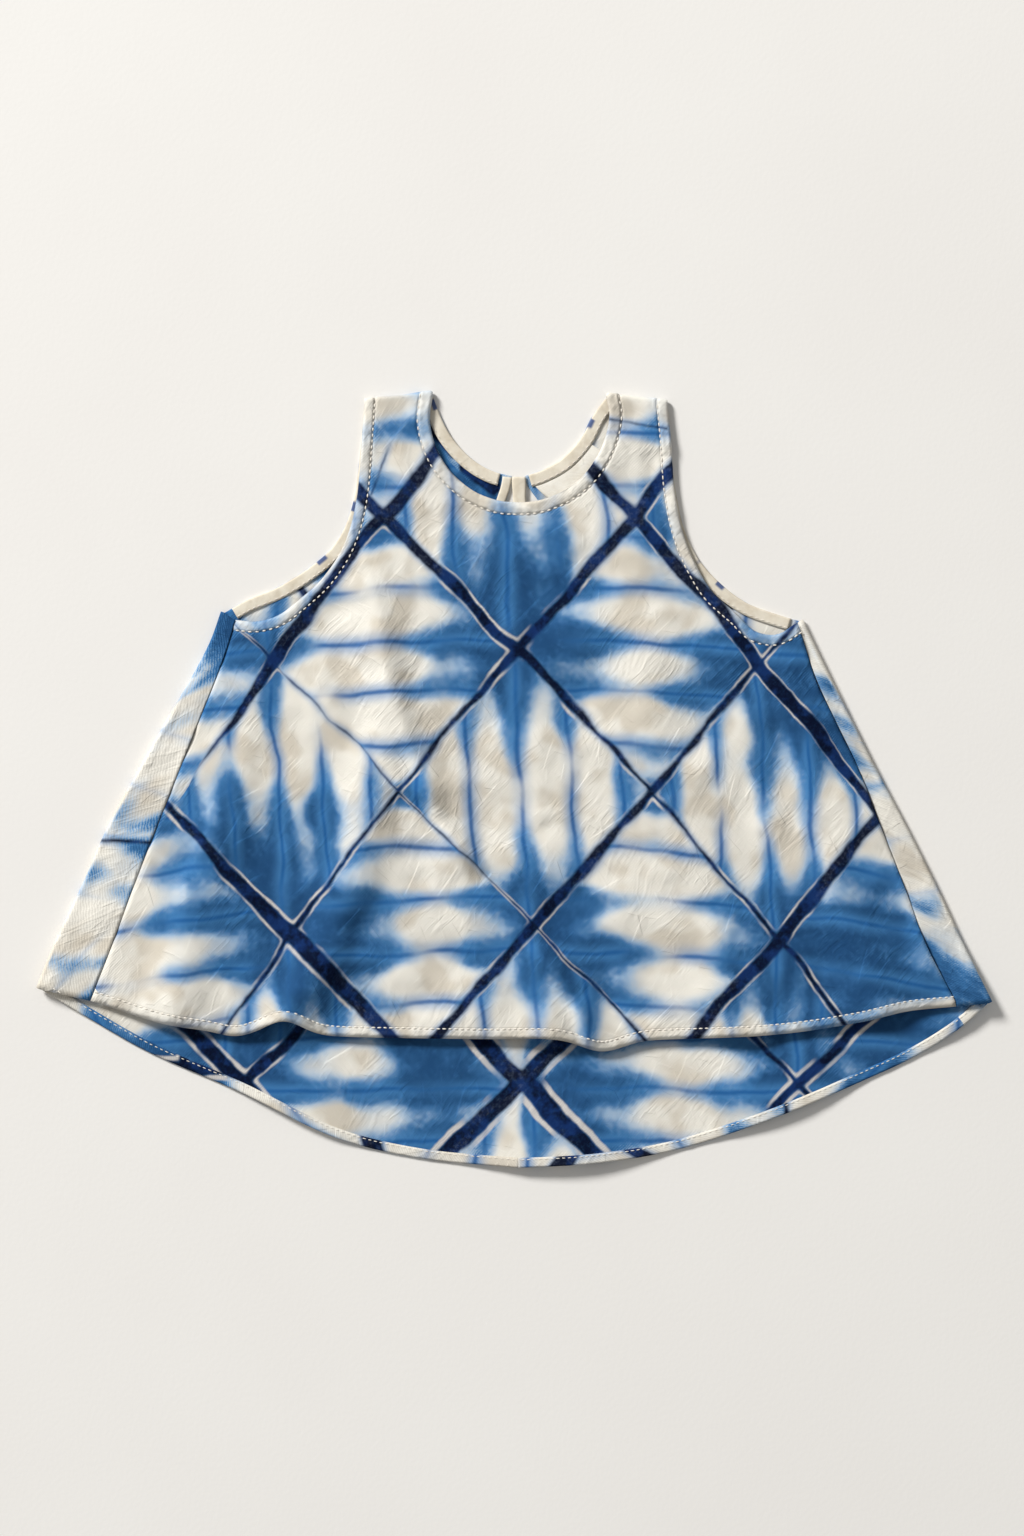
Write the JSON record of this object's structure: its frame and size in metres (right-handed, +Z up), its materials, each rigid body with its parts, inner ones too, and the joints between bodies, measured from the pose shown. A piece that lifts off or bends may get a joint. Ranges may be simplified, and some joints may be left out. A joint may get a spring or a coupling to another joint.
{
  "type": "tank top",
  "caption": "Child's sleeveless A-line top in tie-dyed cotton, laid flat face up, with a longer back hem and a keyhole at the back neck.",
  "frame": {"origin": "middle of the underside, on the surface that the top lies on", "axes": "+X across the top to the right as seen from above, +Y from the hem to the shoulders, +Z up from the surface"},
  "size_m": [0.4878, 0.3966, 0.0123],
  "materials": {
    "dyed_cotton": "matt, hand dyed in indigo on cream",
    "plain_cotton": "matt cream",
    "label_cotton": "matt cream, bare"
  },
  "bodies": {
    "root": {"front_panel": "dyed_cotton", "back_panel": "dyed_cotton", "neck_facing_left": "plain_cotton", "neck_facing_right": "plain_cotton", "armhole_facing_left": "plain_cotton", "armhole_facing_right": "plain_cotton", "keyhole_binding": "plain_cotton", "keyhole_tab": "plain_cotton", "neck_label": "label_cotton"}
  },
  "joints": []
}
